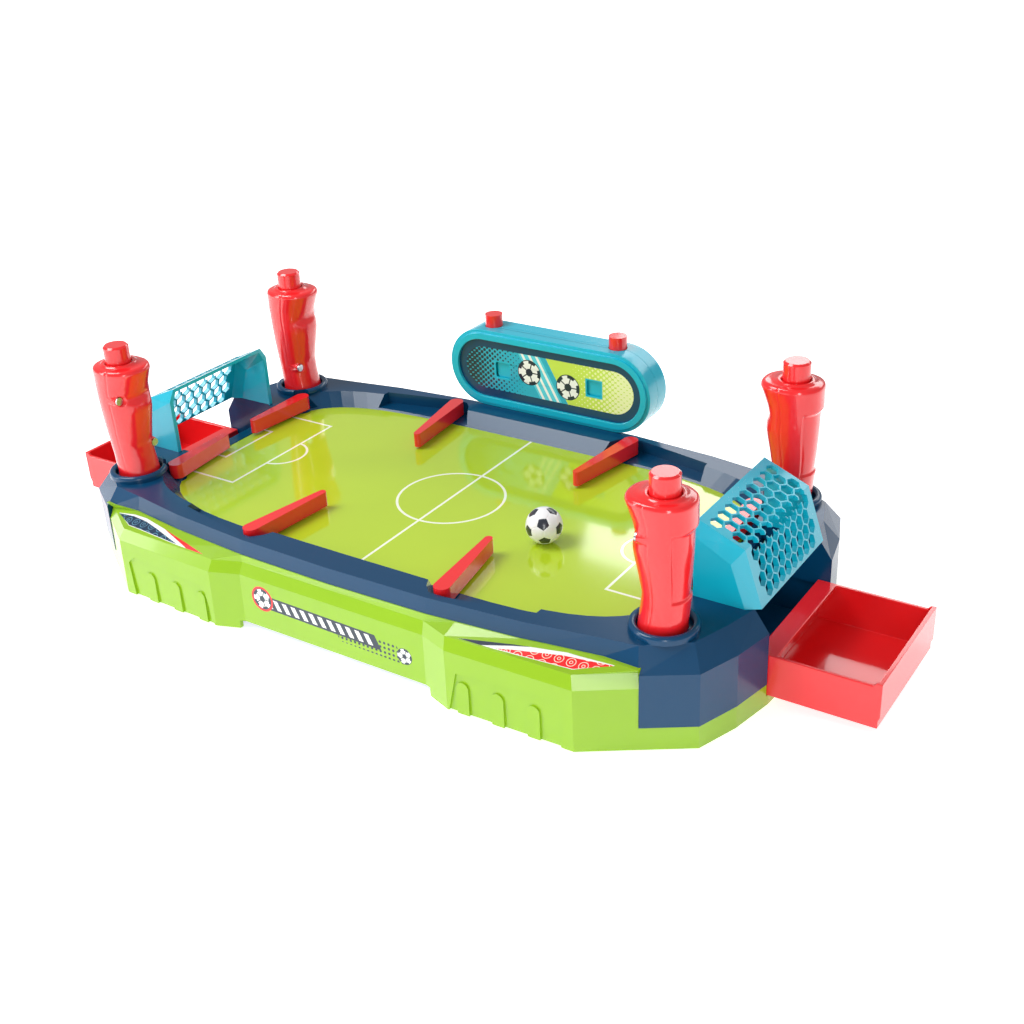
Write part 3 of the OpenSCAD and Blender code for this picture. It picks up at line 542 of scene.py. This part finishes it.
def make_grip(corner, side_x, side_y):
    """Surface of angle and height: a rounded-square section scaled by the profile, less the seam
    groove, the sunk outer panel, the finger grooves and the screws' wells. It closes over a ring
    round the button and runs down the bore to the foot again."""
    high_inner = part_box(corner + "_grip_inner")[1]
    low_button, high_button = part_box(corner + "_plunger")
    centre_x = (low_button[0] + high_button[0]) / 2
    centre_y = (low_button[1] + high_button[1]) / 2
    foot = RIM_LEVEL
    top = high_inner[2] - 1.0 * MM
    height = (top - foot) / MM
    columns, rows = 192, 150
    squareness = 0.88
    panel_depth, seam_depth, upper_finger, lower_finger = 1.5, 0.45, 1.5, 0.8
    mean_radius = 16.0
    well_floor, well_radius, well_edge = -8.6, 2.9, 3.5
    wells = ((13.0, height - 21.0), (-9.6, 20.5))  # place across and level of each screw
    angle = np.linspace(0, 2 * math.pi, columns, endpoint=False)[None, :]
    share = np.linspace(0, 0.962, rows)[:, None]
    offset, half_x, half_y = (
        np.interp(share, GRIP_PROFILE[:, 0], GRIP_PROFILE[:, i]) for i in (1, 2, 3))
    kernel = np.hanning(13) / np.hanning(13).sum()
    offset, half_x, half_y = (
        np.convolve(np.pad(v[:, 0], 6, mode="edge"), kernel, mode="valid")[:, None]
        for v in (offset, half_x, half_y))
    cos, sin = np.cos(angle), np.sin(angle)
    round_x = np.sign(cos) * np.abs(cos) ** squareness
    round_y = np.sign(sin) * np.abs(sin) ** squareness
    # sunk panel on the outer side (angle 0), with soft walls
    turn = np.minimum(angle, 2 * math.pi - angle)
    panel = smooth_step(turn, 0.99, 0.90) * smooth_step(share, 0.26, 0.285)
    panel = panel * smooth_step(share, 0.80, 0.765)
    # seam where the two halves meet
    seam = bump_at(turn, math.pi * 0.545, 0.020) * seam_depth
    # grooves for the fingers on the pitch side
    inner = smooth_step(turn, 2.1, 2.9)
    fingers = inner * (bump_at(share, 0.75, 0.05) * upper_finger
                       + bump_at(share, 0.30, 0.06) * lower_finger)
    ease = 1.0 - (panel_depth * panel + seam + fingers) / mean_radius
    x = offset + half_x * round_x * ease
    y = half_y * round_y * ease
    z = share * height + 0 * angle
    # wells down to the heads of the two screws
    for across, level in wells:
        away = np.hypot(y - across, z - level)
        well = smooth_step(away, well_edge, well_radius) * (x < 0)
        x = x + (well_floor - x) * well
    # shoulder, flat top and the raised ring round the button
    last_x, last_y = x[-1], y[-1]
    closing = [(0.985, 0.975), (0.955, 0.988), (0.90, 0.995), (0.80, 0.998)]
    ring_x, ring_y, ring_z = [x], [y], [z]
    for scale, level in closing:
        ring_x.append((offset[-1] + (last_x - offset[-1]) * scale)[None, :])
        ring_y.append((last_y * scale)[None, :])
        ring_z.append(np.full((1, columns), level * height))
    ring = [(11.8, 0.0), (11.3, 0.7), (10.7, 1.0), (9.4, 1.0), (8.9, 0.6), (8.75, -4.0), (8.75, -5.8)]
    # the inside wall goes down round the button's flange, then a plain bore to the foot
    bore = [(10.3, -6.6), (10.3, -37.0), (6.8, -37.1), (6.8, -height + 0.1)]
    for radius, rise in ring + bore:
        ring_x.append(radius * cos)
        ring_y.append(radius * sin)
        ring_z.append(np.full((1, columns), height + rise))
    x, y, z = (np.concatenate(part, axis=0) for part in (ring_x, ring_y, ring_z))
    points = np.stack([centre_x + side_x * x * MM, centre_y + side_y * y * MM, foot + z * MM], -1)
    return points, side_x * side_y < 0


def add_springs():
    """Wire carried along a helix: one angle runs up the coil, the other round the wire."""
    joints = frame["record"]["behaviour"]["joints"]
    travel = {joint["name"]: joint["range_m"][1] for joint in joints
              if joint["name"].endswith("_button_press")}
    turns, steps_a_turn, wire, coil = 6, 48, 0.6 * MM, 6.4 * MM
    for corner in CORNERS:
        low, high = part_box(corner + "_spring")
        middle_x, middle_y = (low[0] + high[0]) / 2, (low[1] + high[1]) / 2
        along = np.linspace(0, 1, turns * steps_a_turn + 1)[:, None]
        round_wire = np.linspace(0, 2 * math.pi, 16, endpoint=False)[None, :]
        angle = 2 * math.pi * turns * along
        reach = coil + wire * np.cos(round_wire)
        rise = (high[2] - low[2] - 2 * wire) * along
        points = np.stack([
            middle_x + reach * np.cos(angle), middle_y + reach * np.sin(angle),
            low[2] + wire + rise + wire * np.sin(round_wire)], -1)
        piece = grid_piece(corner + "_coil", points, "spring_steel", "housing", flip=True)
        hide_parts(corner + "_spring")
        joint = corner + "_button_press"
        keep = 1.0 - travel[joint] / (high[2] - low[2])
        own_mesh(piece)


def add_grips():
    """The smooth surface of each grip, in place of its two moulded halves."""
    for corner, (side_x, side_y) in CORNERS.items():
        points, flip = make_grip(corner, side_x, side_y)
        loop = np.concatenate([points, points[:1]], axis=0)
        piece = grid_piece(
            corner + "_grip", loop, "red_plastic", "housing", closed_ends=False, flip=flip)
        weld = piece.modifiers.new("weld", "WELD")
        weld.merge_threshold = 0.001 * MM
        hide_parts(corner + "_grip_inner", corner + "_grip_outer")


def add_ball():
    """Sphere whose points sink a little along the seams of twelve five-sided and twenty
    six-sided panels; a direction belongs to the panel whose plane it meets first."""
    rows, columns = 240, 360
    tilt = Matrix.Rotation(0.35, 3, "X") @ Matrix.Rotation(0.5, 3, "Y")
    gold = (1 + math.sqrt(5)) / 2
    fives = np.array([p for a in (-1, 1) for b in (-gold, gold)
                      for p in ((0, a, b), (a, b, 0), (b, 0, a))], float)
    fives /= np.linalg.norm(fives, axis=1)[:, None]
    six = 1 / gold
    sixes = np.array([(a, b, c) for a in (-1, 1) for b in (-1, 1) for c in (-1, 1)]
                     + [p for a in (-six, six) for b in (-gold, gold)
                        for p in ((0, a, b), (a, b, 0), (b, 0, a))], float)
    sixes = np.array([(c, b, a) if i >= 8 else (a, b, c) for i, (a, b, c) in enumerate(sixes)])
    sixes /= np.linalg.norm(sixes, axis=1)[:, None]
    polar = np.linspace(0.001, math.pi - 0.001, rows)[:, None]
    angle = np.linspace(0, 2 * math.pi, columns, endpoint=False)[None, :]
    way = np.stack([np.sin(polar) * np.cos(angle), np.sin(polar) * np.sin(angle),
                    np.cos(polar) + 0 * angle], -1)
    turned = way @ np.array(tilt)
    # how far each panel's plane is from the ball's middle, as a share of the radius
    five_plane, six_plane = 0.9393, 0.9149
    meet_five = (turned @ fives.T) / five_plane
    meet_six = (turned @ sixes.T) / six_plane
    every = np.sort(np.concatenate([meet_five, meet_six], axis=-1), axis=-1)
    gap = every[..., -1] - every[..., -2]
    dark = (meet_five.max(-1) > meet_six.max(-1)).astype(float)
    radius = BALL_RADIUS * (0.997 - 0.014 * bump_at(gap, 0.0, 0.012))
    points = BALL_CENTRE + way * radius[..., None]
    piece = grid_piece("football", points, "ball_print", "ball", flip=True, attribute=dark)
    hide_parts("game_ball")


add_springs()
add_grips()
add_ball()


# ---- studio ----

def add_floor():
    """A plain pale floor at the table's level, which glows a little so that it reads as white."""
    half = 6.0
    corners = [(-half, -half, 0), (half, -half, 0), (half, half, 0), (-half, half, 0)]
    mesh = bpy.data.meshes.new("studio floor")
    mesh.from_pydata(corners, [], [(0, 1, 2, 3)])
    floor = bpy.data.objects.new("studio floor", mesh)
    bpy.context.scene.collection.objects.link(floor)
    material, _, shader = start_material("pale floor")
    shader.inputs["Base Color"].default_value = (0.93, 0.93, 0.93, 1)
    shader.inputs["Roughness"].default_value = 0.9
    shader.inputs["Emission Color"].default_value = (1.0, 1.0, 1.0, 1)
    shader.inputs["Emission Strength"].default_value = 0.72
    mesh.materials.append(material)


def add_light(name, place, target, size, power):
    data = bpy.data.lights.new(name, "AREA")
    data.shape = "RECTANGLE"
    data.size, data.size_y = size
    data.energy = power
    lamp = bpy.data.objects.new(name, data)
    lamp.location = place
    lamp.rotation_euler = (Vector(target) - Vector(place)).to_track_quat("-Z", "Y").to_euler()
    bpy.context.scene.collection.objects.link(lamp)


def add_camera():
    """Stands off the front right, looking down with a long lens."""
    azimuth, elevation, roll = math.radians(34.6), math.radians(27.7), math.radians(-3.0)
    stand_off = 791.3 * MM
    back = Vector((math.sin(azimuth) * math.cos(elevation), -math.cos(azimuth) * math.cos(elevation),
                   math.sin(elevation)))
    level = (-back).cross(Vector((0, 0, 1))).normalized()
    upright = level.cross(-back)
    right = level * math.cos(roll) + upright * math.sin(roll)
    up = upright * math.cos(roll) - level * math.sin(roll)
    target = Vector((83.9, -52.6, 86.7)) * MM
    place = target + back * stand_off
    data = bpy.data.cameras.new("camera")
    data.sensor_width = 36.0
    data.lens = 47.69
    camera = bpy.data.objects.new("camera", data)
    rotation = Matrix((right, up, back)).transposed()
    camera.matrix_world = Matrix.Translation(place) @ rotation.to_4x4()
    bpy.context.scene.collection.objects.link(camera)
    bpy.context.scene.camera = camera


def add_world():
    world = bpy.data.worlds.new("white studio")
    world.use_nodes = True
    background = world.node_tree.nodes["Background"]
    background.inputs["Color"].default_value = (1.0, 1.0, 1.0, 1)
    background.inputs["Strength"].default_value = 0.42
    bpy.context.scene.world = world


add_floor()
add_world()
add_light("key softbox", (-0.8, -0.6, 1.5), (0, 0, 0.05), (0.9, 0.9), 22)
add_light("fill strip", (0.9, -1.3, 0.5), (0.1, 0, 0.08), (0.25, 1.0), 6)
add_light("left strip", (-1.2, -1.0, 0.5), (-0.1, 0, 0.08), (0.2, 1.0), 4.5)
add_light("back softbox", (0.1, 1.5, 0.9), (0, 0, 0.05), (1.8, 0.35), 7)
add_camera()
bpy.context.scene.view_settings.view_transform = "Standard"
